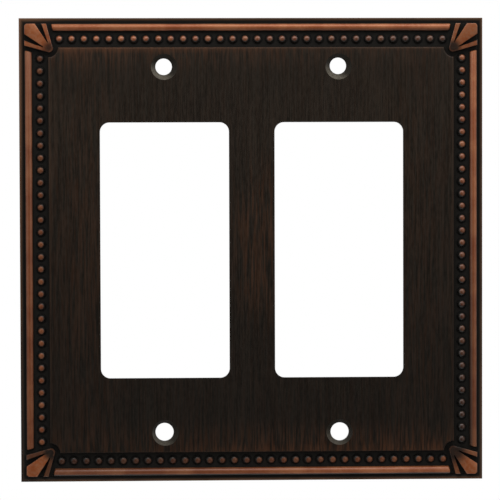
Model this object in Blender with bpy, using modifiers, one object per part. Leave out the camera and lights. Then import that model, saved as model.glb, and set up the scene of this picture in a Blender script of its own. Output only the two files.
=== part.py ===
"""Two-gang decorator wall plate cover with a beaded border.

Every shape is drawn in plate coordinates: x to the right, y up the wall and z out of the wall,
with z = 0 on the wall. The empty at the end stands the plate up, facing -Y, with +Z up.
"""
import math

import bmesh
import bpy
from mathutils import Matrix, Vector

MM = 0.001

# Standard sizes of the electrical devices behind the plate
GANG_PITCH = 46.04 * MM
SCREW_SPACING = 96.84 * MM
OPENING_WIDTH = 34.0 * MM
OPENING_HEIGHT = 67.5 * MM
OPENING_RADIUS = 2.5 * MM
BORE_RADIUS = 2.375 * MM
MOUTH_RADIUS = 3.475 * MM
COUNTERSINK_ANGLE = math.radians(82.0)

# The square plate, as half widths from its centre
WALL_HALF = 61.45 * MM
LIP_HALF = 61.2 * MM
RAIL_LINE = 58.75 * MM
BEAD_LINE = 55.7 * MM
PANEL_HALF = 53.55 * MM
LEDGE_HALF = 51.3 * MM
WALL_THICKNESS = 1.6 * MM
LIP_WIDTH = 0.55 * MM
LIP_CHAMFER = 0.15 * MM

# Heights above the wall
LIP_HEIGHT = 4.9 * MM
FLOOR_HEIGHT = 4.2 * MM
FLOOR_THICKNESS = 1.5 * MM
PANEL_HEIGHT = 6.6 * MM
CHANNEL_HEIGHT = 5.0 * MM
RAIL_HEIGHT = 6.2 * MM
LEAF_HEIGHT = 6.3 * MM

# Ornament
GAP = 0.3 * MM
RAIL_RADIUS = 1.05 * MM
RAIL_END_OUTER = 52.95 * MM
RAIL_END_INNER = 52.4 * MM
BEADS_PER_SIDE = 32
BEAD_PITCH = 3.266 * MM
BEAD_RADIUS = 1.12 * MM
BEAD_RISE = 0.95 * MM
BEAD_FOOT_SHARE = 0.25
NOTCH_RADIUS = 2.6 * MM
FAN_TIP = 53.45 * MM
FAN_TIP_RADIUS = 1.2 * MM
FAN_BASE_INNER = 53.35 * MM
# The round root of the groove between two leaves, as distances from the fan's tip
GROOVE_ROOT_SIDE = 0.1 * MM
GROOVE_ROOT_REACH = 1.4 * MM
GROOVE_ROOT_RADIUS = 0.2 * MM
# Where the leaves meet the sides of the fan, as distances from its outer corner
LEAF_CLIP = 0.5 * MM
CENTRE_LEAF = 2.8 * MM
SIDE_LEAF_START = 4.35 * MM
SIDE_LEAF_END = 5.78 * MM

# Each height on which a separate piece rests
SEAT_HEIGHT = FLOOR_HEIGHT + GAP

QUARTER_TURN = math.pi / 2
SMOOTH_ANGLE = math.radians(40.0)

SIDES = {"top": 0, "left": 1, "bottom": 2, "right": 3}
CORNERS = {"top_right": 0, "top_left": 1, "bottom_left": 2, "bottom_right": 3}


def clear_scene():
    for leftover in list(bpy.data.objects):
        bpy.data.objects.remove(leftover)


def new_collection(name):
    collection = bpy.data.collections.new(name)
    bpy.context.scene.collection.children.link(collection)
    return collection


def new_material(name, colour, roughness, metallic):
    material = bpy.data.materials.new(name)
    material.use_nodes = True
    shader = material.node_tree.nodes["Principled BSDF"]
    shader.inputs["Base Color"].default_value = (*colour, 1.0)
    shader.inputs["Roughness"].default_value = roughness
    shader.inputs["Metallic"].default_value = metallic
    material.diffuse_color = (*colour, 1.0)
    return material


def add_object(name, mesh, collection, material=None, turns=0):
    """Put a mesh in the plate, turned about the plate's centre by quarter turns."""
    piece = bpy.data.objects.new(name, mesh)
    collection.objects.link(piece)
    piece.rotation_euler = (0.0, 0.0, turns * QUARTER_TURN)
    if material and not mesh.materials:
        mesh.materials.append(material)
    return piece


def shade(mesh):
    mesh.shade_smooth()
    mesh.set_sharp_from_angle(angle=SMOOTH_ANGLE)


# Outlines

def arc(centre, radius, start, end, steps):
    """Points along an arc, from one angle to another in degrees."""
    points = []
    for step in range(steps + 1):
        angle = math.radians(start + (end - start) * step / steps)
        points.append((centre[0] + radius * math.cos(angle), centre[1] + radius * math.sin(angle)))
    return points


def rounded_rectangle(centre, width, height, radius, steps=5):
    points = []
    for quarter, (side_x, side_y) in enumerate([(1, 1), (-1, 1), (-1, -1), (1, -1)]):
        corner = (centre[0] + side_x * (width / 2 - radius), centre[1] + side_y * (height / 2 - radius))
        points += arc(corner, radius, 90 * quarter, 90 * quarter + 90, steps)
    return points


def notched_square(half, radius, steps=10):
    """A square with a hollow quarter circle taken out of each corner."""
    points = []
    for quarter, (side_x, side_y) in enumerate([(1, 1), (-1, 1), (-1, -1), (1, -1)]):
        start = 90 * quarter + 270
        points += arc((side_x * half, side_y * half), radius, start, start - 90, steps)
    return points


def solid_from_outlines(name, outlines, bottom, top):
    """Mesh of closed flat outlines, between two heights. An outline inside another is a hole."""
    curve = bpy.data.curves.new(name, "CURVE")
    curve.dimensions = "2D"
    curve.fill_mode = "BOTH"
    curve.extrude = (top - bottom) / 2
    for outline in outlines:
        spline = curve.splines.new("POLY")
        spline.points.add(len(outline) - 1)
        for point, (x, y) in zip(spline.points, outline):
            point.co = (x, y, 0.0, 1.0)
        spline.use_cyclic_u = True
    holder = bpy.data.objects.new(name, curve)
    bpy.context.scene.collection.objects.link(holder)
    bpy.context.view_layer.update()
    evaluated = holder.evaluated_get(bpy.context.evaluated_depsgraph_get())
    mesh = bpy.data.meshes.new_from_object(evaluated)
    bpy.data.objects.remove(holder)
    shape = bmesh.new()
    shape.from_mesh(mesh)
    bmesh.ops.remove_doubles(shape, verts=shape.verts, dist=0.001 * MM)
    bmesh.ops.translate(shape, verts=shape.verts, vec=(0.0, 0.0, (top + bottom) / 2))
    bmesh.ops.recalc_face_normals(shape, faces=shape.faces)
    shape.to_mesh(mesh)
    shape.free()
    mesh.name = name
    return mesh


def joined(name, meshes):
    """Boolean union of several overlapping meshes, as one mesh."""
    holders = []
    for mesh in meshes:
        holder = bpy.data.objects.new(name, mesh)
        bpy.context.scene.collection.objects.link(holder)
        holders.append(holder)
    for operand in holders[1:]:
        union = holders[0].modifiers.new("union", "BOOLEAN")
        union.operation = "UNION"
        union.solver = "EXACT"
        union.object = operand
    bpy.context.view_layer.update()
    evaluated = holders[0].evaluated_get(bpy.context.evaluated_depsgraph_get())
    mesh = bpy.data.meshes.new_from_object(evaluated)
    for holder in holders:
        bpy.data.objects.remove(holder)
    mesh.name = name
    return mesh


# Pieces

def make_frame(collection, material):
    """Outer wall, lip, floor and ledge: one section turned through four steps into a square ring."""
    groove_edge = LIP_HALF - LIP_WIDTH
    floor_back = FLOOR_HEIGHT - FLOOR_THICKNESS
    inner_wall = WALL_HALF - WALL_THICKNESS
    section = [
        (WALL_HALF, 0.0),
        (LIP_HALF, LIP_HEIGHT - LIP_CHAMFER),
        (LIP_HALF - LIP_CHAMFER, LIP_HEIGHT),
        (groove_edge, LIP_HEIGHT),
        (groove_edge - LIP_CHAMFER, FLOOR_HEIGHT),
        (LEDGE_HALF, FLOOR_HEIGHT),
        (LEDGE_HALF, floor_back),
        (inner_wall, floor_back),
        (inner_wall, 0.0),
    ]
    shape = bmesh.new()
    corners = [shape.verts.new((half * math.sqrt(2), 0.0, height)) for half, height in section]
    for here, there in zip(corners, corners[1:] + corners[:1]):
        shape.edges.new((here, there))
    mesh = bpy.data.meshes.new("plate_frame")
    shape.to_mesh(mesh)
    shape.free()
    frame = add_object("plate_frame", mesh, collection, material)
    frame.rotation_euler.z = math.radians(45.0)
    turn = frame.modifiers.new("four_step_turn", "SCREW")
    turn.axis = "Z"
    turn.angle = 2 * math.pi
    turn.steps = 4
    turn.render_steps = 4
    turn.use_smooth_shade = False
    turn.use_normal_flip = True
    turn.use_merge_vertices = True
    turn.merge_threshold = 0.01 * MM
    return frame


def screw_places():
    places = []
    for side_x in (-1, 1):
        for side_y in (-1, 1):
            places.append((side_x * GANG_PITCH / 2, side_y * SCREW_SPACING / 2))
    return places


def make_cutter(name, mesh, collection):
    cutter = add_object(name, mesh, collection)
    cutter.display_type = "WIRE"
    cutter.hide_render = True
    return cutter


def make_opening_cutter(collection):
    """Both device openings."""
    outlines = []
    for side in (-1, 1):
        centre = (side * GANG_PITCH / 2, 0.0)
        outlines.append(rounded_rectangle(centre, OPENING_WIDTH, OPENING_HEIGHT, OPENING_RADIUS))
    mesh = solid_from_outlines("device_openings", outlines, SEAT_HEIGHT - MM, PANEL_HEIGHT + MM)
    return make_cutter("device_openings", mesh, collection)


def make_hole_cutter(name, collection, bottom, bottom_radius, top, top_radius):
    """A cylinder or cone at each of the four screw places, between two heights."""
    shape = bmesh.new()
    for x, y in screw_places():
        bmesh.ops.create_cone(
            shape, cap_ends=True, segments=32, depth=top - bottom,
            radius1=bottom_radius, radius2=top_radius,
            matrix=Matrix.Translation((x, y, (top + bottom) / 2)))
    mesh = bpy.data.meshes.new(name)
    shape.to_mesh(mesh)
    shape.free()
    return make_cutter(name, mesh, collection)


def make_panel(collection, cutters, material):
    outline = notched_square(PANEL_HALF, NOTCH_RADIUS)
    mesh = solid_from_outlines("face_panel", [outline], SEAT_HEIGHT, PANEL_HEIGHT)
    panel = add_object("face_panel", mesh, collection, material)
    slope = math.tan(COUNTERSINK_ANGLE / 2)
    overshoot = 0.2 * MM
    seat_bottom = PANEL_HEIGHT - (MOUTH_RADIUS - BORE_RADIUS) / slope - overshoot
    tools = [
        make_opening_cutter(cutters),
        make_hole_cutter("bores", cutters, SEAT_HEIGHT - MM, BORE_RADIUS, PANEL_HEIGHT + MM, BORE_RADIUS),
        make_hole_cutter(
            "countersinks", cutters, seat_bottom, BORE_RADIUS - overshoot * slope,
            PANEL_HEIGHT + overshoot, MOUTH_RADIUS + overshoot * slope),
    ]
    for tool in tools:
        cut = panel.modifiers.new(tool.name, "BOOLEAN")
        cut.operation = "DIFFERENCE"
        cut.solver = "EXACT"
        cut.object = tool
    return panel


def make_rails(collection, material):
    """Half-round rails. Each end is cut on a slant, beside the fan's outer leaf."""
    arc_centre = RAIL_HEIGHT - RAIL_RADIUS
    section = [(RAIL_RADIUS, SEAT_HEIGHT)]
    section += arc((0.0, arc_centre), RAIL_RADIUS, 0, 180, 10)
    section += [(-RAIL_RADIUS, SEAT_HEIGHT)]
    mesh = solid_from_outlines("rail", [section], -WALL_HALF, WALL_HALF)
    shape = bmesh.new()
    shape.from_mesh(mesh)
    # The section was drawn in x and y and drawn out along z: lay it along x, at its line.
    lay_down = Matrix(((0, 0, 1, 0), (1, 0, 0, RAIL_LINE), (0, 1, 0, 0), (0, 0, 0, 1)))
    bmesh.ops.transform(shape, matrix=lay_down, verts=shape.verts)
    slant = Vector((RAIL_END_OUTER - RAIL_END_INNER, 2 * RAIL_RADIUS, 0.0))
    for side in (-1, 1):
        end = Vector((side * RAIL_END_INNER, RAIL_LINE - RAIL_RADIUS, 0.0))
        outward = Vector((side * slant.y, -slant.x, 0.0)).normalized()
        everything = shape.verts[:] + shape.edges[:] + shape.faces[:]
        cut = bmesh.ops.bisect_plane(
            shape, geom=everything, dist=0.001 * MM, plane_co=end, plane_no=outward, clear_outer=True)
        rim = [item for item in cut["geom_cut"] if isinstance(item, bmesh.types.BMEdge)]
        bmesh.ops.edgenet_fill(shape, edges=rim)
    bmesh.ops.recalc_face_normals(shape, faces=shape.faces)
    shape.to_mesh(mesh)
    shape.free()
    shade(mesh)
    for side, turns in SIDES.items():
        add_object("rail_" + side, mesh, collection, material, turns)


def make_bead_rows(collection, material):
    """A thin strip on each side, with its row of beads standing on it."""
    inner = PANEL_HALF + GAP
    outer = RAIL_LINE - RAIL_RADIUS - GAP
    reach = FAN_TIP - FAN_TIP_RADIUS - GAP
    outline = [(-reach, inner), (reach, inner), (reach, outer), (-reach, outer)]
    strip = solid_from_outlines("strip", [outline], SEAT_HEIGHT, CHANNEL_HEIGHT)
    shape = bmesh.new()
    for index in range(BEADS_PER_SIDE):
        x = (index - (BEADS_PER_SIDE - 1) / 2) * BEAD_PITCH
        bead = bmesh.ops.create_uvsphere(shape, u_segments=8, v_segments=6, radius=BEAD_RADIUS)
        for vertex in bead["verts"]:
            vertex.co.z *= BEAD_RISE / BEAD_RADIUS
            # A bead's lower half is flattened, so that it ends inside the strip.
            if vertex.co.z < 0:
                vertex.co.z *= BEAD_FOOT_SHARE
            vertex.co += Vector((x, BEAD_LINE, CHANNEL_HEIGHT))
    beads = bpy.data.meshes.new("beads")
    shape.to_mesh(beads)
    shape.free()
    mesh = joined("bead_row", [strip, beads])
    shade(mesh)
    for side, turns in SIDES.items():
        add_object("bead_row_" + side, mesh, collection, material, turns)


def fan_outline():
    """Three leaves that spread from a round tip. The lower half mirrors the upper half."""
    outer = RAIL_LINE + RAIL_RADIUS
    groove_root = (FAN_TIP + GROOVE_ROOT_SIDE, FAN_TIP + GROOVE_ROOT_REACH)
    half = arc((FAN_TIP, FAN_TIP), FAN_TIP_RADIUS, 225, 180, 4)
    half += [(outer - SIDE_LEAF_END, outer), (outer - SIDE_LEAF_START, outer)]
    half += arc(groove_root, GROOVE_ROOT_RADIUS, 165, 330, 4)
    half += [(outer - CENTRE_LEAF, outer), (outer - LEAF_CLIP, outer)]
    mirrored = [(y, x) for x, y in reversed(half[1:])]
    return half + mirrored


def make_corner_fans(collection, material):
    """A fan of three leaves at each corner, on a square base."""
    outer = RAIL_LINE + RAIL_RADIUS
    base = [(FAN_BASE_INNER, FAN_BASE_INNER), (outer, FAN_BASE_INNER), (outer, outer),
            (FAN_BASE_INNER, outer)]
    overlap = (SEAT_HEIGHT + CHANNEL_HEIGHT) / 2
    mesh = joined("corner_fan", [
        solid_from_outlines("base", [base], SEAT_HEIGHT, CHANNEL_HEIGHT),
        solid_from_outlines("leaves", [fan_outline()], overlap, LEAF_HEIGHT),
    ])
    for corner, turns in CORNERS.items():
        add_object("corner_fan_" + corner, mesh, collection, material, turns)


def main():
    clear_scene()
    plate = new_collection("wall_plate_cover")
    cutters = new_collection("cutters")
    dark_bronze = new_material("dark_bronze", (0.020, 0.016, 0.013), 0.45, 1.0)
    brushed_bronze = new_material("brushed_bronze", (0.040, 0.026, 0.018), 0.38, 1.0)
    rubbed_copper = new_material("rubbed_copper", (0.300, 0.130, 0.065), 0.35, 1.0)
    make_frame(plate, dark_bronze)
    make_panel(plate, cutters, brushed_bronze)
    make_rails(plate, rubbed_copper)
    make_bead_rows(plate, dark_bronze)
    make_corner_fans(plate, rubbed_copper)
    stand_up = bpy.data.objects.new("stand_up", None)
    plate.objects.link(stand_up)
    stand_up.rotation_euler = (QUARTER_TURN, 0.0, 0.0)
    for collection in (plate, cutters):
        for piece in collection.objects:
            if piece.type == "MESH":
                piece.parent = stand_up


main()
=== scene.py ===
"""The looks of the two-gang wall plate cover: finer pieces, finishes, light and camera.

Pieces are drawn in plate coordinates, x to the right, y up the wall and z out of the wall, and
stood up at the end, so that they face -Y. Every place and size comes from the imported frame's boxes
or from the named values below.
"""
import math

import bmesh
import bpy
from mathutils import Matrix, Vector


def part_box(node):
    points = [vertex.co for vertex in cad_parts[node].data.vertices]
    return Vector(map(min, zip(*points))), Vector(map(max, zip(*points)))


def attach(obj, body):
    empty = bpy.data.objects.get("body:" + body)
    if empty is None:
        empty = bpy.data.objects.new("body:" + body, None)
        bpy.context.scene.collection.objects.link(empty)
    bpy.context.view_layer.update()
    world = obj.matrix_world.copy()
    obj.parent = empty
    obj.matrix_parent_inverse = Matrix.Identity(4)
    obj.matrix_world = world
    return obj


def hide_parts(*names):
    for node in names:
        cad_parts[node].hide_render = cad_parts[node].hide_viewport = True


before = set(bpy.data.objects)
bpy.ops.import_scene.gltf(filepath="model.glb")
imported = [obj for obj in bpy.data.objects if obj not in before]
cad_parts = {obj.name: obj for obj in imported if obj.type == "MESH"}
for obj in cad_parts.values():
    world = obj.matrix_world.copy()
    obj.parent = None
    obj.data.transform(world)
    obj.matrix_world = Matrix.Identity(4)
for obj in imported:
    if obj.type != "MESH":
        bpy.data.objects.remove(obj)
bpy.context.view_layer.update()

MM = 0.001
TOLERANCE = 0.001 * MM
WELD_DISTANCE = 0.0005 * MM
STAND_UP = Matrix.Rotation(math.radians(90.0), 4, "X")

# Quarter turns from the top side, and from the top right corner
SIDES = {"top": 0, "left": 1, "bottom": 2, "right": 3}
CORNERS = {"top_right": 0, "top_left": 1, "bottom_left": 2, "bottom_right": 3}


# Sizes, first those that the frame gives

def drawn_box(node):
    """A node's lowest and highest corners in plate coordinates."""
    low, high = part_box(node)
    return Vector((low[0], low[2], -high[1])), Vector((high[0], high[2], -low[1]))


frame_high = drawn_box("plate_frame")[1]
panel_low, panel_high = drawn_box("face_panel")
rail_low, rail_high = drawn_box("rail_top")
beads_high = drawn_box("bead_row_top")[1]
fan_high = drawn_box("corner_fan_top_right")[1]

WALL_HALF = frame_high.x
LIP_HEIGHT = frame_high.z
PANEL_HALF = panel_high.x
SEAT_HEIGHT = panel_low.z
FACE_HEIGHT = panel_high.z
RAIL_LINE = (rail_low.y + rail_high.y) / 2
RAIL_RADIUS = (rail_high.y - rail_low.y) / 2
RAIL_END = rail_high.x
RAIL_HEIGHT = rail_high.z
BEAD_HEIGHT = beads_high.z
FAN_OUTER = fan_high.x
LEAF_HEIGHT = fan_high.z

# The border
LIP_HALF = WALL_HALF - 0.15 * MM
LIP_ROUND = 0.3 * MM
LIP_WIDTH = 0.45 * MM
LIP_SLOPE = 0.5 * MM
LIP_ROLL_OFF = 0.05 * MM
WALL_THICKNESS = 1.6 * MM
GROOVE_HEIGHT = 4.45 * MM
GROOVE_WALL_SLANT = 0.1 * MM
LEDGE_BACK = 2.7 * MM
LEDGE_HALF = PANEL_HALF - 2.25 * MM
LEDGE_FILLET = 0.5 * MM
CHANNEL_HEIGHT = 4.95 * MM
BEADS_PER_SIDE = 32
BEAD_PITCH = 3.266 * MM
BEAD_LINE = 55.7 * MM
BEAD_RADIUS = 1.12 * MM
BEAD_FOOT = 0.25 * MM
RAIL_SLANT = 0.5 * MM
RAIL_END_ROUND = 0.45 * MM
RAIL_END_NARROWING = 0.3
RAIL_END_STEPS = 6
FAN_TIP = 53.45 * MM
FAN_TIP_RADIUS = 1.2 * MM
LEAF_ROUND = 0.35 * MM
LEAF_CLIP = 0.5 * MM
CENTRE_LEAF = 2.8 * MM
SIDE_LEAF_START = 4.35 * MM
SIDE_LEAF_END = 5.78 * MM
LEAF_GAP_ROOT = (0.1 * MM, 1.4 * MM)
LEAF_GAP_RADIUS = 0.2 * MM

# The panel
GANG_PITCH = 46.04 * MM
SCREW_SPACING = 96.84 * MM
OPENING_WIDTH = 34.0 * MM
OPENING_HEIGHT = 67.5 * MM
OPENING_RADIUS = 2.5 * MM
OPENING_DRAFT = 0.2 * MM
OPENING_CHAMFER = 0.08 * MM
HOLE_STEPS = 64
# Each bore's side, its radius, and its drift off the middle of its countersink
BORES = {
    (-1, 1): (2.18 * MM, (-0.15 * MM, 0.02 * MM)),
    (1, 1): (2.18 * MM, (-0.10 * MM, 0.20 * MM)),
    (-1, -1): (2.40 * MM, (-0.28 * MM, 0.24 * MM)),
    (1, -1): (2.42 * MM, (0.17 * MM, 0.06 * MM)),
}
MOUTH_RADIUS = 3.475 * MM
COUNTERSINK_ANGLE = math.radians(82.0)
NOTCH_RADIUS = 2.6 * MM
PANEL_EDGE_ROUND = 0.35 * MM
CROWN_WIDTH = 6.0 * MM
CROWN_DROP = 0.2 * MM
EDGE_STEPS = 5
CROWN_STEPS = 10

# The camera
CAMERA_PLACE = Vector((-25.1, -705.7, 24.8)) * MM
CAMERA_TARGET = Vector((-0.55, -6.6, 0.02)) * MM
CAMERA_ROLL = math.radians(-0.167)
CAMERA_LENS = 190.7

# The floor
FLOOR_RADIUS = 0.3
FLOOR_DROP = 0.25


# Mesh tools

def arc(centre, radius, start, end, steps):
    """Points along an arc, from one angle to another in degrees."""
    points = []
    for step in range(steps + 1):
        angle = math.radians(start + (end - start) * step / steps)
        points.append((centre[0] + radius * math.cos(angle), centre[1] + radius * math.sin(angle)))
    return points


def rounded_rectangle(centre, width, height, radius, steps=12):
    """The outline of a rectangle with round corners."""
    points = []
    for quarter, (side_x, side_y) in enumerate([(1, 1), (-1, 1), (-1, -1), (1, -1)]):
        corner = (centre[0] + side_x * (width / 2 - radius), centre[1] + side_y * (height / 2 - radius))
        points += arc(corner, radius, 90 * quarter, 90 * quarter + 90, steps)
    return points


def notched_square(half, radius, inset, steps=16):
    """A square with a hollow quarter circle taken out of each corner, drawn in by an inset."""
    swept = radius + inset
    lead = math.degrees(math.asin(inset / swept))
    points = []
    for quarter, (side_x, side_y) in enumerate([(1, 1), (-1, 1), (-1, -1), (1, -1)]):
        start = 90 * quarter + 270 - lead
        end = 90 * quarter + 180 + lead
        points += arc((side_x * half, side_y * half), swept, start, end, steps)
    return points


def skin(shape, rings):
    """Skin between closed rings of points, of equal length, and close both ends."""
    grown = [[shape.verts.new(point) for point in ring] for ring in rings]
    count = len(grown[0])
    for lower, upper in zip(grown, grown[1:]):
        for index in range(count):
            after = (index + 1) % count
            shape.faces.new((lower[index], lower[after], upper[after], upper[index]))
    shape.faces.new(list(reversed(grown[0])))
    shape.faces.new(grown[-1])


def loft(shape, sections):
    """Skin between flat outlines, given with their heights."""
    skin(shape, [[(x, y, height) for x, y in outline] for outline, height in sections])


def prism(shape, outline, bottom, top, rounding, segments=4):
    """A block from a flat outline, with its upper edges rounded."""
    loft(shape, [(outline, bottom), (outline, top)])
    edges = []
    for edge in shape.edges:
        if all(abs(vertex.co.z - top) < TOLERANCE for vertex in edge.verts):
            edges.append(edge)
    bmesh.ops.bevel(
        shape, geom=edges, offset=rounding, segments=segments, profile=0.5,
        affect="EDGES", clamp_overlap=True)


def add_piece(name, shape, material, node, turns=0, smooth_angle=40.0):
    """Stand a shape up as a piece on the plate, in place of a CAD node."""
    bmesh.ops.remove_doubles(shape, verts=shape.verts, dist=WELD_DISTANCE)
    bmesh.ops.recalc_face_normals(shape, faces=shape.faces)
    turn = Matrix.Rotation(turns * math.pi / 2, 4, "Z")
    bmesh.ops.transform(shape, matrix=STAND_UP @ turn, verts=shape.verts)
    mesh = bpy.data.meshes.new(name)
    shape.to_mesh(mesh)
    mesh.shade_smooth()
    mesh.set_sharp_from_angle(angle=math.radians(smooth_angle))
    mesh.materials.append(material)
    piece = bpy.data.objects.new(name, mesh)
    bpy.context.scene.collection.objects.link(piece)
    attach(piece, "root")
    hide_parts(node)
    return piece


# Pieces

def frame_shape():
    """The outer wall, the rolled lip, the groove, and the floor of the border."""
    lip_inner = LIP_HALF - LIP_WIDTH
    groove_inner = RAIL_LINE + RAIL_RADIUS
    lip_centre = (LIP_HALF - LIP_ROUND, LIP_HEIGHT - LIP_ROUND)
    inner_wall = WALL_HALF - WALL_THICKNESS
    section = [(WALL_HALF, 0.0)]
    section += arc(lip_centre, LIP_ROUND, 0, 90, 5)
    section += [
        (lip_inner, LIP_HEIGHT - LIP_ROLL_OFF),
        (lip_inner - LIP_SLOPE, GROOVE_HEIGHT),
        (groove_inner, GROOVE_HEIGHT),
        (groove_inner - GROOVE_WALL_SLANT, CHANNEL_HEIGHT),
        (LEDGE_HALF, CHANNEL_HEIGHT),
        (LEDGE_HALF, LEDGE_BACK),
    ]
    fillet_centre = (inner_wall - LEDGE_FILLET, LEDGE_BACK - LEDGE_FILLET)
    section += arc(fillet_centre, LEDGE_FILLET, 90, 0, 4)
    section += [(inner_wall, 0.0)]
    shape = bmesh.new()
    rings = []
    for half, height in section:
        corners = [(half, half), (-half, half), (-half, -half), (half, -half)]
        rings.append([shape.verts.new((x, y, height)) for x, y in corners])
    for ring, following in zip(rings, rings[1:] + rings[:1]):
        for index in range(4):
            after = (index + 1) % 4
            shape.faces.new((ring[index], ring[after], following[after], following[index]))
    return shape


def panel_shape():
    """The face panel: a rounded edge, then a slight crown up to the flat middle."""
    sections = [(notched_square(PANEL_HALF, NOTCH_RADIUS, 0.0), SEAT_HEIGHT)]
    edge_height = FACE_HEIGHT - CROWN_DROP
    for step in range(EDGE_STEPS + 1):
        angle = math.radians(90 * step / EDGE_STEPS)
        inset = PANEL_EDGE_ROUND * (1 - math.cos(angle))
        height = edge_height - PANEL_EDGE_ROUND * (1 - math.sin(angle))
        sections.append((notched_square(PANEL_HALF, NOTCH_RADIUS, inset), height))
    for step in range(1, CROWN_STEPS + 1):
        along = step / CROWN_STEPS
        inset = PANEL_EDGE_ROUND + (CROWN_WIDTH - PANEL_EDGE_ROUND) * along
        height = FACE_HEIGHT - CROWN_DROP * (1 - along) ** 2
        sections.append((notched_square(PANEL_HALF, NOTCH_RADIUS, inset), height))
    shape = bmesh.new()
    loft(shape, sections)
    return shape


def opening_tool_shape():
    """Cuts both device openings: a casting's draft towards the back, a chamfer at the front."""
    shape = bmesh.new()
    overshoot = 0.5 * MM
    thickness = FACE_HEIGHT - SEAT_HEIGHT
    for side in (-1, 1):
        centre = (side * GANG_PITCH / 2, 0.0)
        sections = []
        for height, growth in [
                (SEAT_HEIGHT - thickness, 2 * OPENING_DRAFT),
                (FACE_HEIGHT - OPENING_CHAMFER, 0.0),
                (FACE_HEIGHT - OPENING_CHAMFER + overshoot, overshoot)]:
            outline = rounded_rectangle(
                centre, OPENING_WIDTH + 2 * growth, OPENING_HEIGHT + 2 * growth, OPENING_RADIUS + growth)
            sections.append((outline, height))
        loft(shape, sections)
    return shape


def screw_hole_tool_shape():
    """Cuts the four bores and their countersinks. Each bore has its own radius and drift."""
    shape = bmesh.new()
    slope = math.tan(COUNTERSINK_ANGLE / 2)
    overshoot = 0.4 * MM
    for (side_x, side_y), (bore_radius, drift) in BORES.items():
        seat = Vector((side_x * GANG_PITCH / 2, side_y * SCREW_SPACING / 2))
        bore = seat + Vector(drift)
        seat_bottom = FACE_HEIGHT - (MOUTH_RADIUS - bore_radius) / slope
        sections = []
        for centre, height, radius in [
                (bore, SEAT_HEIGHT - MM, bore_radius),
                (bore, seat_bottom, bore_radius),
                (seat, FACE_HEIGHT + overshoot, MOUTH_RADIUS + overshoot * slope)]:
            sections.append((arc(centre, radius, 0, 360, HOLE_STEPS)[:-1], height))
        loft(shape, sections)
    return shape


def cut(shape, tools):
    """The shape less its tools, by exact Booleans."""
    holders = []
    for source in [shape] + tools:
        bmesh.ops.recalc_face_normals(source, faces=source.faces)
        mesh = bpy.data.meshes.new("cut")
        source.to_mesh(mesh)
        source.free()
        holder = bpy.data.objects.new("cut", mesh)
        bpy.context.scene.collection.objects.link(holder)
        holders.append(holder)
    for tool in holders[1:]:
        modifier = holders[0].modifiers.new("cut", "BOOLEAN")
        modifier.operation = "DIFFERENCE"
        modifier.solver = "EXACT"
        modifier.object = tool
    bpy.context.view_layer.update()
    evaluated = holders[0].evaluated_get(bpy.context.evaluated_depsgraph_get())
    result = bmesh.new()
    result.from_mesh(evaluated.to_mesh())
    for holder in holders:
        bpy.data.objects.remove(holder)
    return result


def rail_shape():
    """A half-round rail. Its ends are slanted and rounded over.

    The rounding stops just short of a quarter turn, so that the last ring isn't flat.
    """
    crown_centre = RAIL_HEIGHT - RAIL_RADIUS
    profile = [(-RAIL_RADIUS, 0.0)]
    profile += [(across, crown_centre - SEAT_HEIGHT + rise) for across, rise in arc(
        (0.0, 0.0), RAIL_RADIUS, 180, 0, 20)]
    profile += [(RAIL_RADIUS, 0.0)]
    stations = []
    for step in range(RAIL_END_STEPS + 1):
        swing = math.radians(90 * step / (RAIL_END_STEPS + 0.5))
        stations.append((RAIL_END_ROUND * math.sin(swing), math.cos(swing)))
    straight = RAIL_END - RAIL_END_ROUND
    rings = []
    for side, steps in ((-1, list(reversed(stations))), (1, stations)):
        for reach, share in steps:
            ring = []
            for across, rise in profile:
                slanted = straight - RAIL_SLANT * (RAIL_RADIUS - across) / (2 * RAIL_RADIUS)
                narrowed = across * ((1 - RAIL_END_NARROWING) + RAIL_END_NARROWING * share)
                ring.append((side * (slanted + reach), RAIL_LINE + narrowed, SEAT_HEIGHT + rise * share))
            rings.append(ring)
    shape = bmesh.new()
    skin(shape, rings)
    return shape


def bead_row_shape():
    """A row of beads, each with its foot in the channel's floor."""
    shape = bmesh.new()
    for index in range(BEADS_PER_SIDE):
        x = (index - (BEADS_PER_SIDE - 1) / 2) * BEAD_PITCH
        bead = bmesh.ops.create_uvsphere(shape, u_segments=24, v_segments=16, radius=1.0)
        height = BEAD_HEIGHT - CHANNEL_HEIGHT
        place = Matrix.Translation((x, BEAD_LINE, CHANNEL_HEIGHT))
        size = Matrix.Diagonal((BEAD_RADIUS, BEAD_RADIUS, height, 1.0))
        bmesh.ops.transform(shape, matrix=place @ size, verts=bead["verts"])
    below = [vertex for vertex in shape.verts if vertex.co.z < CHANNEL_HEIGHT - BEAD_FOOT]
    bmesh.ops.delete(shape, geom=below, context="VERTS")
    return shape


def fan_outline():
    """Three leaves that spread from a round tip, mirrored across the corner's diagonal."""
    gap_root = (FAN_TIP + LEAF_GAP_ROOT[0], FAN_TIP + LEAF_GAP_ROOT[1])
    half = arc((FAN_TIP, FAN_TIP), FAN_TIP_RADIUS, 225, 180, 8)
    half += [(FAN_OUTER - SIDE_LEAF_END, FAN_OUTER), (FAN_OUTER - SIDE_LEAF_START, FAN_OUTER)]
    half += arc(gap_root, LEAF_GAP_RADIUS, 165, 330, 8)
    half += [(FAN_OUTER - CENTRE_LEAF, FAN_OUTER), (FAN_OUTER - LEAF_CLIP, FAN_OUTER)]
    mirrored = [(y, x) for x, y in reversed(half[1:])]
    return half + mirrored


def fan_shape():
    """A fan of three leaves, rounded over at their edges."""
    shape = bmesh.new()
    prism(shape, fan_outline(), SEAT_HEIGHT, LEAF_HEIGHT, LEAF_ROUND)
    return shape


# Shader tools

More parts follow.
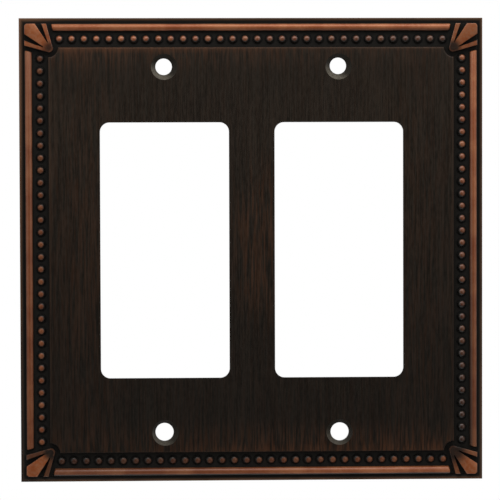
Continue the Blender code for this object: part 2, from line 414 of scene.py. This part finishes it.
def add_node(tree, kind, inputs=None, **settings):
    """Add a shader node. An input is a value, or a socket to link from."""
    node = tree.nodes.new(kind)
    for key, value in settings.items():
        setattr(node, key, value)
    for key, value in (inputs or {}).items():
        if isinstance(value, bpy.types.NodeSocket):
            tree.links.new(value, node.inputs[key])
        else:
            node.inputs[key].default_value = value
    return node


def calculate(tree, operation, first, second=0.0):
    """The outcome of one Math node."""
    return add_node(tree, "ShaderNodeMath", {0: first, 1: second}, operation=operation).outputs[0]


def ramp(tree, value, start, end, low=0.0, high=1.0):
    """Low up to the start, high from the end on, and smooth between."""
    node = add_node(
        tree, "ShaderNodeMapRange",
        {"Value": value, "From Min": start, "From Max": end, "To Min": low, "To Max": high},
        interpolation_type="SMOOTHSTEP", clamp=True)
    return node.outputs["Result"]


def mix(tree, factor, first, second):
    """Mix two colours, each of them a triple or a socket."""
    node = add_node(tree, "ShaderNodeMix", {"Factor": factor}, data_type="RGBA")
    for index, colour in ((6, first), (7, second)):
        if isinstance(colour, bpy.types.NodeSocket):
            tree.links.new(colour, node.inputs[index])
        else:
            node.inputs[index].default_value = (*colour, 1.0)
    return node.outputs[2]


def noise(tree, vector, scale, detail=2.0):
    node = add_node(
        tree, "ShaderNodeTexNoise", {"Vector": vector, "Scale": scale, "Detail": detail})
    return node.outputs["Fac"]


def length(tree, first, second):
    """The length of a flat vector, from its two parts."""
    squares = [calculate(tree, "MULTIPLY", value, value) for value in (first, second)]
    return calculate(tree, "SQRT", calculate(tree, "ADD", *squares))


def product(tree, *values):
    result = values[0]
    for value in values[1:]:
        result = calculate(tree, "MULTIPLY", result, value)
    return result


def total(tree, *values):
    result = values[0]
    for value in values[1:]:
        result = calculate(tree, "ADD", result, value)
    return result


class Finish:
    """A material under construction, with sockets for the place on the plate.

    across is x and up is z, and width and height are the same without their signs. out is the height
    above the wall. edge is the larger of width and height, so it grows towards the nearest side, and
    along is the smaller, which runs beside that side.
    """

    def __init__(self, name):
        self.material = bpy.data.materials.new(name)
        self.material.use_nodes = True
        self.tree = self.material.node_tree
        self.shader = self.tree.nodes["Principled BSDF"]
        self.place = add_node(self.tree, "ShaderNodeTexCoord").outputs["Object"]
        parts = add_node(self.tree, "ShaderNodeSeparateXYZ", {"Vector": self.place})
        self.across = parts.outputs["X"]
        self.up = parts.outputs["Z"]
        self.out = calculate(self.tree, "MULTIPLY", parts.outputs["Y"], -1.0)
        self.width = calculate(self.tree, "ABSOLUTE", self.across)
        self.height = calculate(self.tree, "ABSOLUTE", self.up)
        self.edge = calculate(self.tree, "MAXIMUM", self.width, self.height)
        self.along = calculate(self.tree, "MINIMUM", self.width, self.height)

    def set(self, colour, roughness, metallic, specular, coat, bump_height, bump_strength):
        """Wire up the shader. Colour, roughness and bump_height are sockets, the rest numbers."""
        self.tree.links.new(colour, self.shader.inputs["Base Color"])
        self.tree.links.new(roughness, self.shader.inputs["Roughness"])
        self.shader.inputs["Metallic"].default_value = metallic
        self.shader.inputs["Specular IOR Level"].default_value = specular
        self.shader.inputs["Coat Weight"].default_value = coat
        self.shader.inputs["Coat Roughness"].default_value = COAT_ROUGHNESS
        bump = add_node(
            self.tree, "ShaderNodeBump",
            {"Height": bump_height, "Strength": bump_strength, "Distance": BUMP_DISTANCE})
        self.tree.links.new(bump.outputs["Normal"], self.shader.inputs["Normal"])
        return self.material


# Finishes

PATINA = (0.0150, 0.0131, 0.0109)
# A dark colour for painted shade.
PAINTED_SHADE = (0.0060, 0.0056, 0.0050)
WORN_BROWN = (0.120, 0.060, 0.030)
WORN_COPPER = (0.30, 0.150, 0.085)
COPPER = (0.50, 0.178, 0.070)
COPPER_DEEP = (0.44, 0.110, 0.030)
PALE_COPPER = (0.46, 0.200, 0.105)
BRUSHED_DARK = (0.0172, 0.0128, 0.0088)
BRUSHED_LIGHT = (0.0350, 0.0262, 0.0186)
BRUSHED_MIDDLE = (0.0261, 0.0195, 0.0137)
CAST_DARK = (0.030, 0.027, 0.023)
CAST_LIGHT = (0.058, 0.053, 0.046)
SEAT_DARK = (0.0250, 0.0200, 0.0135)
# The colour of the painted highlight in the countersinks.
SEAT_HIGHLIGHT = (0.150, 0.131, 0.100)
TURNING_WAVES = 2 * math.pi / (0.40 * MM)
GRAIN_SCALE = 1800.0
COAT_ROUGHNESS = 0.25
BUMP_DISTANCE = 0.02 * MM
PANEL_BASE_WEAR = 0.14


def within_bead(finish, run):
    """How far a point lies from the middle of its bead, along the row, with its sign."""
    tree = finish.tree
    share = calculate(tree, "FRACT", calculate(tree, "DIVIDE", run, BEAD_PITCH))
    return calculate(tree, "MULTIPLY", calculate(tree, "SUBTRACT", share, 0.5), BEAD_PITCH)


def cast_back(finish):
    """Colour of the unbrushed back, as it was cast."""
    tree = finish.tree
    patches = noise(tree, finish.place, scale=90.0, detail=4.0)
    grain = noise(tree, finish.place, scale=2600.0, detail=3.0)
    tone = total(tree, product(tree, patches, 0.6), product(tree, grain, 0.4))
    return mix(tree, ramp(tree, tone, 0.35, 0.65), CAST_DARK, CAST_LIGHT)


def frame_finish():
    """Dark patina, worn on the lip, with painted shade round the foot of each bead, and a plain casting
    behind.
    """
    finish = Finish("patina")
    tree = finish.tree
    patches = noise(tree, finish.place, scale=120.0, detail=3.0)
    grain = noise(tree, finish.place, GRAIN_SCALE)
    from_row = calculate(tree, "SUBTRACT", finish.edge, BEAD_LINE)
    from_bead = length(tree, within_bead(finish, finish.along), from_row)
    in_border = ramp(tree, finish.out, GROOVE_HEIGHT - 0.6 * MM, GROOVE_HEIGHT - 0.2 * MM)
    # Painted shade: the channel floor darkens round the foot of each bead, where the beads shade it.
    at_foot = product(tree, in_border, ramp(tree, from_bead, 1.7 * MM, 1.1 * MM))
    colour = mix(tree, at_foot, PATINA, PAINTED_SHADE)
    on_lip = ramp(tree, finish.edge, LIP_HALF - 0.95 * MM, LIP_HALF - 0.2 * MM)
    lip = product(
        tree, on_lip, ramp(tree, finish.out, GROOVE_HEIGHT - 0.15 * MM, GROOVE_HEIGHT + 0.25 * MM),
        ramp(tree, patches, 0.3, 0.6, 0.6, 1.0))
    colour = mix(tree, lip, colour, WORN_BROWN)
    left = ramp(tree, finish.across, -0.9 * PANEL_HALF, 1.6 * MM - LIP_HALF)
    left_lip = product(
        tree, left, in_border, ramp(tree, finish.up, -5 * MM, 58 * MM, 0.0, 0.42),
        ramp(tree, finish.edge, LIP_HALF - 1.3 * MM, LIP_HALF - 0.4 * MM))
    low_lip = product(
        tree, on_lip, in_border, ramp(tree, finish.up, 1.2 * MM - LIP_HALF, 0.6 * MM - LIP_HALF),
        ramp(tree, patches, 0.35, 0.65, 0.04, 0.24))
    for worn in (left_lip, low_lip):
        colour = mix(tree, worn, colour, WORN_COPPER)
    dull = product(tree, left, on_lip, ramp(tree, finish.up, 0.0, -45 * MM, 0.0, 0.85))
    colour = mix(tree, dull, colour, PATINA)
    behind = product(
        tree, ramp(tree, finish.out, GROOVE_HEIGHT - 0.3 * MM, GROOVE_HEIGHT - 0.9 * MM),
        ramp(tree, finish.edge, WALL_HALF - 0.3 * MM, WALL_HALF - 1.0 * MM))
    colour = mix(tree, behind, colour, cast_back(finish))
    roughness = ramp(tree, grain, 0.3, 0.7, 0.45, 0.58)
    return finish.set(
        colour, roughness, metallic=0.0, specular=0.15, coat=0.12, bump_height=grain, bump_strength=0.2)


def worn_copper(name, bare_low, bare_high, start, end, inner=(1.0, 1.0), outward=0.0, forward=0.0,
                coat=0.8, fan_wear=None, line=RAIL_LINE, upright=False):
    """Patina worn through to copper between two heights above the wall.

    start and end are how much copper shows at the two ends of a side, from left to right or from
    the bottom up. inner is the share of it that is left on the side towards the panel, at the same
    two ends. outward leans the copper out from the middle of the rail or bead, and forward leans
    it along the side on each bead, in mm of height per mm. These leans are partly the rubbing and
    partly painted shade, leaving patina on flanks that face away from the light. line is how far that
    middle lies from the plate's middle, and upright is true on the left and right sides.
    """
    finish = Finish(name)
    tree = finish.tree
    patches = noise(tree, finish.place, scale=160.0, detail=3.0)
    mottle = noise(tree, finish.place, scale=1300.0)
    grain = noise(tree, finish.place, GRAIN_SCALE)
    wander = calculate(tree, "MULTIPLY", calculate(tree, "SUBTRACT", patches, 0.5), 0.3 * MM)
    run = finish.up if upright else finish.across
    rub_and_shade_height = calculate(tree, "ADD", finish.out, wander)
    # Painted shade in part: the leans take copper off flanks that are dark because they face away from
    # the light.
    if outward:
        shade_lean = product(tree, calculate(tree, "SUBTRACT", finish.edge, line), outward)
        rub_and_shade_height = calculate(tree, "ADD", rub_and_shade_height, shade_lean)
    if forward:
        rub_and_shade_height = calculate(tree, "ADD", rub_and_shade_height, product(tree, within_bead(finish, run), forward))
    brighter_share = product(
        tree, ramp(tree, rub_and_shade_height, bare_low, bare_high),
        ramp(tree, run, -PANEL_HALF, PANEL_HALF, start, end),
        ramp(tree, patches, 0.3, 0.7, 0.85, 1.1))
    if min(inner) < 1.0:
        inner_share = ramp(tree, run, -PANEL_HALF, PANEL_HALF, *inner)
        brighter_share = calculate(tree, "MULTIPLY", brighter_share, ramp(
            tree, finish.edge, RAIL_LINE - 0.7 * MM, RAIL_LINE + 0.2 * MM, inner_share, 1.0))
    if fan_wear:
        brighter_share = calculate(tree, "MULTIPLY", brighter_share, share_on_fan(finish, wander, **fan_wear))
    tone = total(tree, product(tree, patches, 0.7), product(tree, mottle, 0.3))
    copper = mix(tree, ramp(tree, tone, 0.35, 0.65), COPPER_DEEP, COPPER)
    if fan_wear:
        copper = mix(tree, ramp(tree, mottle, 0.4, 0.7, 0.0, 0.5), copper, PALE_COPPER)
    colour = mix(tree, brighter_share, PATINA, copper)
    roughness = ramp(tree, grain, 0.3, 0.7, 0.36, 0.46)
    return finish.set(
        colour, roughness, metallic=0.25, specular=0.2, coat=coat, bump_height=grain,
        bump_strength=0.12)


def share_on_fan(finish, wander, fade_start, fade_end, side, rim, tip=0.07):
    """Share of the copper on a fan, which fades out towards its tip.

    The side leaves, the rim round the tip and the tip itself have shares of their own.
    """
    tree = finish.tree
    beyond_width = calculate(tree, "SUBTRACT", finish.width, FAN_TIP)
    beyond_height = calculate(tree, "SUBTRACT", finish.height, FAN_TIP)
    from_tip = length(tree, beyond_width, beyond_height)
    outward = calculate(tree, "ADD", beyond_width, beyond_height)
    off_axis = calculate(tree, "ABSOLUTE", calculate(tree, "SUBTRACT", beyond_width, beyond_height))
    off_leaf = calculate(tree, "SUBTRACT", off_axis, product(tree, outward, 0.45))
    wandered = calculate(tree, "ADD", from_tip, product(tree, wander, 3.0))
    on_leaves = product(
        tree, ramp(tree, wandered, fade_start, fade_end, tip, 1.0),
        ramp(tree, off_leaf, -0.3 * MM, 0.3 * MM, 1.0, side))
    on_rim = product(
        tree, ramp(tree, from_tip, 0.65 * MM, 0.95 * MM),
        ramp(tree, outward, 0.5 * MM, -0.3 * MM, 0.0, rim))
    return calculate(tree, "MAXIMUM", on_leaves, on_rim)


def brushed(finish, offset, scale, stretch):
    """Noise drawn out up and down the plate. The offset, in metres, sets one pattern from another."""
    mapping = add_node(
        finish.tree, "ShaderNodeMapping",
        {"Vector": finish.place, "Location": (offset, 0.0, 0.0), "Scale": (1.0, 1.0, stretch)})
    return noise(finish.tree, mapping.outputs["Vector"], scale)


def panel_wear(finish):
    """How far the brushing has reached the copper: most near the edges and between the openings."""
    tree = finish.tree
    mid_height = ramp(tree, finish.height, 50 * MM, 10 * MM, 0.5, 1.0)
    from_bar = length(
        tree, product(tree, calculate(tree, "SUBTRACT", finish.across, 2 * MM), 3.0),
        calculate(tree, "SUBTRACT", finish.up, 2 * MM))
    side_strip = ramp(tree, finish.width, 46 * MM, 51 * MM, 1.0, 0.5)
    zones = [
        product(
            tree, ramp(tree, finish.up, 46 * MM, PANEL_HALF),
            ramp(tree, finish.across, -50 * MM, 50 * MM, 0.9, 0.2)),
        product(
            tree, ramp(tree, finish.up, -44 * MM, -PANEL_HALF),
            ramp(tree, finish.across, -45 * MM, 15 * MM, 0.4, 1.05)),
        product(
            tree, ramp(tree, finish.across, -30 * MM, -44 * MM, 0.0, 0.40), mid_height, side_strip),
        product(
            tree, ramp(tree, finish.across, 30 * MM, 44 * MM, 0.0, 0.22), mid_height, side_strip),
        ramp(tree, from_bar, 28 * MM, 8 * MM, 0.0, 0.8),
    ]
    return total(tree, PANEL_BASE_WEAR, *zones)


def brushed_bronze():
    """Dark bronze brushed up and down, with copper showing through in fine streaks, and painted shade
    darkening it towards the bottom.
    """
    finish = Finish("brushed_bronze")
    tree = finish.tree
    bands = brushed(finish, offset=0.0, scale=500.0, stretch=0.035)
    long_streaks = brushed(finish, offset=0.0, scale=3300.0, stretch=0.023)
    short_streaks = brushed(finish, offset=0.3, scale=3000.0, stretch=0.17)
    red_streaks = brushed(finish, offset=0.7, scale=2900.0, stretch=0.040)
    red_patches = brushed(finish, offset=0.5, scale=1500.0, stretch=0.055)
    pattern = total(
        tree, product(tree, long_streaks, 0.45), product(tree, short_streaks, 0.4),
        product(tree, bands, 0.15))
    reddening = total(tree, product(tree, red_streaks, 0.5), product(tree, red_patches, 0.5))
    softening = ramp(tree, finish.up, 34 * MM, 50 * MM, 0.0, 0.35)
    colour = mix(tree, ramp(tree, pattern, 0.38, 0.62), BRUSHED_DARK, BRUSHED_LIGHT)
    colour = mix(tree, softening, colour, BRUSHED_MIDDLE)
    # Painted shade: the panel is darker towards the bottom, away from the light above.
    colour = mix(tree, ramp(tree, finish.up, 40 * MM, -44 * MM, 0.0, 0.40), colour, PAINTED_SHADE)
    wear = product(tree, panel_wear(finish), ramp(tree, reddening, 0.42, 0.59, 0.0, 0.092))
    colour = mix(tree, wear, colour, COPPER)
    rim = product(
        tree, ramp(tree, finish.edge, PANEL_HALF - 0.8 * MM, PANEL_HALF - 0.3 * MM),
        ramp(tree, finish.up, -50 * MM, 50 * MM, 0.04, 0.17))
    colour = mix(tree, rim, colour, WORN_BROWN)
    top_rim = product(
        tree, ramp(tree, finish.up, PANEL_HALF - 2.0 * MM, PANEL_HALF - 0.4 * MM),
        ramp(tree, finish.across, -45 * MM, 25 * MM, 0.080, 0.010))
    low_rim = product(
        tree, ramp(tree, finish.up, 2.6 * MM - PANEL_HALF, 0.6 * MM - PANEL_HALF),
        ramp(tree, finish.across, -40 * MM, 10 * MM, 0.0, 0.026))
    colour = mix(tree, calculate(tree, "ADD", top_rim, low_rim), colour, COPPER)
    half_way = (SEAT_HEIGHT + FACE_HEIGHT) / 2
    behind = ramp(tree, finish.out, half_way - 0.1 * MM, SEAT_HEIGHT + 0.1 * MM)
    colour = mix(tree, behind, colour, cast_back(finish))
    roughness = ramp(tree, pattern, 0.3, 0.7, 0.36, 0.48)
    return finish.set(
        colour, roughness, metallic=0.2, specular=0.2, coat=0.1, bump_height=long_streaks,
        bump_strength=0.3)


def turned_seat():
    """The countersinks, with the turning tool's rings, and a painted highlight on their lower left,
    stronger on the upper holes.
    """
    finish = Finish("turned_seat")
    tree = finish.tree
    grain = noise(tree, finish.place, GRAIN_SCALE)
    side = calculate(tree, "SIGN", finish.across)
    rightward = product(tree, side, calculate(tree, "SUBTRACT", finish.width, GANG_PITCH / 2))
    end = calculate(tree, "SIGN", finish.up)
    upward = product(tree, end, calculate(tree, "SUBTRACT", finish.height, SCREW_SPACING / 2))
    turning = calculate(tree, "SINE", product(tree, length(tree, rightward, upward), TURNING_WAVES))
    # Painted highlight: lighter towards the lower left of each countersink, as if lit from the upper
    # right, and more so on the upper holes.
    low_left = calculate(tree, "ADD", product(tree, rightward, -0.5), product(tree, upward, -0.87))
    highlight_reach = calculate(tree, "ADD", low_left, product(tree, turning, 0.25 * MM))
    brighter_share = product(
        tree, ramp(tree, highlight_reach, 0.2 * MM, 3.0 * MM),
        ramp(tree, finish.up, -10 * MM, 10 * MM, 0.48, 0.95),
        ramp(tree, grain, 0.3, 0.7, 0.7, 1.2))
    colour = mix(tree, brighter_share, SEAT_DARK, SEAT_HIGHLIGHT)
    roughness = ramp(tree, grain, 0.3, 0.7, 0.45, 0.55)
    return finish.set(
        colour, roughness, metallic=0.0, specular=0.25, coat=0.0, bump_height=turning,
        bump_strength=0.3)


# The plate

# How copper shows on each side's rail and beads. The outward and forward leans are partly painted shade,
# leaving patina on flanks that face away from the light.
RAIL_WEAR_AND_SHADE = {
    "top": {"start": 1.0, "end": 0.92, "inner": (0.8, 0.5), "outward": 0.12, "coat": 0.65},
    "bottom": {"start": 0.56, "end": 0.96, "inner": (0.65, 0.85), "outward": -0.40, "coat": 0.75},
    "left": {"start": 0.66, "end": 0.60, "inner": (0.85, 0.85), "outward": 0.05, "coat": 0.7},
    "right": {"start": 0.56, "end": 0.88, "inner": (0.25, 0.8)},
}
BEAD_WEAR_AND_SHADE = {
    "top": {"start": 0.92, "end": 0.22, "outward": 0.22, "forward": -0.08, "coat": 0.95},
    "bottom": {"start": 0.15, "end": 0.50, "outward": 0.15, "forward": 0.24, "coat": 0.3},
    "left": {"start": 0.64, "end": 0.40, "outward": 0.10, "forward": -0.05, "coat": 0.3},
    "right": {"start": 0.11, "end": 0.68, "outward": 0.22, "forward": 0.20, "coat": 0.82},
}
FAN_WEAR = {
    "top_left": {"fade_start": 0.2 * MM, "fade_end": 2.6 * MM, "side": 0.9, "rim": 0.4, "tip": 0.16},
    "top_right": {"fade_start": 0.9 * MM, "fade_end": 2.8 * MM, "side": 0.95, "rim": 0.2},
    "bottom_left": {"fade_start": 0.9 * MM, "fade_end": 2.8 * MM, "side": 0.30, "rim": 0.2},
    "bottom_right": {"fade_start": 1.8 * MM, "fade_end": 5.4 * MM, "side": 0.6, "rim": 0.1},
}
FAN_COPPER = {"top_left": 0.90, "top_right": 0.72, "bottom_left": 0.92, "bottom_right": 0.95}


def mark_seats(shape):
    """Give the slanted faces of the countersinks the second material."""
    for face in shape.faces:
        middle = face.calc_center_median()
        from_screw = math.hypot(abs(middle.x) - GANG_PITCH / 2, abs(middle.y) - SCREW_SPACING / 2)
        slanted = 0.1 < face.normal.z < 0.95
        if slanted and from_screw < MOUTH_RADIUS:
            face.material_index = 1


def build_plate():
    """Every piece with its finish, in place of the CAD's nodes."""
    add_piece("frame_shell", frame_shape(), frame_finish(), "plate_frame")
    panel = cut(panel_shape(), [opening_tool_shape(), screw_hole_tool_shape()])
    mark_seats(panel)
    face = add_piece(
        "brushed_face", panel, brushed_bronze(), "face_panel", smooth_angle=25.0)
    face.data.materials.append(turned_seat())
    for side, turns in SIDES.items():
        upright = side in ("left", "right")
        rail_copper = worn_copper(
            "rail_copper_" + side, RAIL_HEIGHT - 0.62 * MM, RAIL_HEIGHT - 0.32 * MM,
            upright=upright, **RAIL_WEAR_AND_SHADE[side])
        add_piece("rail_bar_" + side, rail_shape(), rail_copper, "rail_" + side, turns)
        bead_copper = worn_copper(
            "bead_copper_" + side, BEAD_HEIGHT - 0.37 * MM, BEAD_HEIGHT,
            line=BEAD_LINE, upright=upright, **BEAD_WEAR_AND_SHADE[side])
        add_piece(
            "beads_" + side, bead_row_shape(), bead_copper, "bead_row_" + side, turns)
    for corner, turns in CORNERS.items():
        copper = FAN_COPPER[corner]
        fan_copper = worn_copper(
            "fan_copper_" + corner, LEAF_HEIGHT - 0.14 * MM, LEAF_HEIGHT - 0.03 * MM, copper, copper,
            coat=0.6, fan_wear=FAN_WEAR[corner])
        add_piece(
            "fan_" + corner, fan_shape(), fan_copper, "corner_fan_" + corner, turns)


# Studio

def add_floor():
    """A plain pale floor, well under the plate."""
    finish = bpy.data.materials.new("pale_floor")
    finish.use_nodes = True
    shader = finish.node_tree.nodes["Principled BSDF"]
    shader.inputs["Base Color"].default_value = (0.80, 0.80, 0.80, 1.0)
    shader.inputs["Roughness"].default_value = 0.9
    bpy.ops.mesh.primitive_circle_add(
        vertices=64, radius=FLOOR_RADIUS, fill_type="NGON",
        location=(0.0, 0.0, -WALL_HALF - FLOOR_DROP))
    floor = bpy.context.object
    floor.name = "floor"
    floor.data.materials.append(finish)


def add_surroundings():
    """White to the camera. As light, a room that is dark straight in front of the plate and bright
    round that, dim at the sides and below, and bright again behind the plate.
    """
    world = bpy.data.worlds.new("studio")
    bpy.context.scene.world = world
    world.use_nodes = True
    tree = world.node_tree
    tree.nodes.clear()
    direction = add_node(tree, "ShaderNodeTexCoord").outputs["Generated"]
    parts = add_node(tree, "ShaderNodeSeparateXYZ", {"Vector": direction})
    in_front = calculate(tree, "MULTIPLY", parts.outputs["Y"], -1.0)
    dark_front = ramp(tree, in_front, 0.94, 0.80, 0.0, 0.62)
    dim_sides = ramp(tree, in_front, 0.15, 0.50, 0.4, 1.0)
    bright_back = ramp(tree, in_front, -0.2, -0.7, 1.0, 3.5)
    dim_below = ramp(tree, parts.outputs["Z"], -0.6, 0.1, 0.2, 1.14)
    everywhere = 0.04
    light = total(tree, product(tree, dark_front, dim_sides, bright_back, dim_below), everywhere)
    seen = add_node(tree, "ShaderNodeLightPath").outputs["Is Camera Ray"]
    strength = add_node(tree, "ShaderNodeMix", {"Factor": seen, "A": light, "B": 1.0}, data_type="FLOAT")
    background = add_node(
        tree, "ShaderNodeBackground", {"Color": (1.0, 1.0, 1.0, 1.0), "Strength": strength.outputs[0]})
    output = add_node(tree, "ShaderNodeOutputWorld")
    tree.links.new(background.outputs[0], output.inputs["Surface"])


def add_softbox():
    """A soft strip of light above the plate and in front of it."""
    light = bpy.data.lights.new("softbox", "AREA")
    light.shape = "RECTANGLE"
    light.size = 0.47
    light.size_y = 0.12
    light.energy = 0.36
    softbox = bpy.data.objects.new("softbox", light)
    softbox.location = (0.05, -0.152, 0.235)
    softbox.rotation_euler = (-softbox.location).to_track_quat("-Z", "Y").to_euler()
    softbox.visible_camera = False
    bpy.context.scene.collection.objects.link(softbox)


def add_camera():
    """The camera, almost straight in front of the plate."""
    camera = bpy.data.objects.new("camera", bpy.data.cameras.new("camera"))
    bpy.context.scene.collection.objects.link(camera)
    camera.data.lens = CAMERA_LENS
    camera.data.sensor_width = 36.0
    camera.data.clip_start = 0.01
    camera.data.clip_end = 20.0
    camera.location = CAMERA_PLACE
    aim = (CAMERA_TARGET - CAMERA_PLACE).to_track_quat("-Z", "Y").to_matrix().to_4x4()
    roll = Matrix.Rotation(CAMERA_ROLL, 4, "Z")
    camera.rotation_euler = (aim @ roll).to_euler()
    bpy.context.scene.camera = camera


build_plate()
add_floor()
add_surroundings()
add_softbox()
add_camera()
bpy.context.scene.view_settings.view_transform = "Standard"
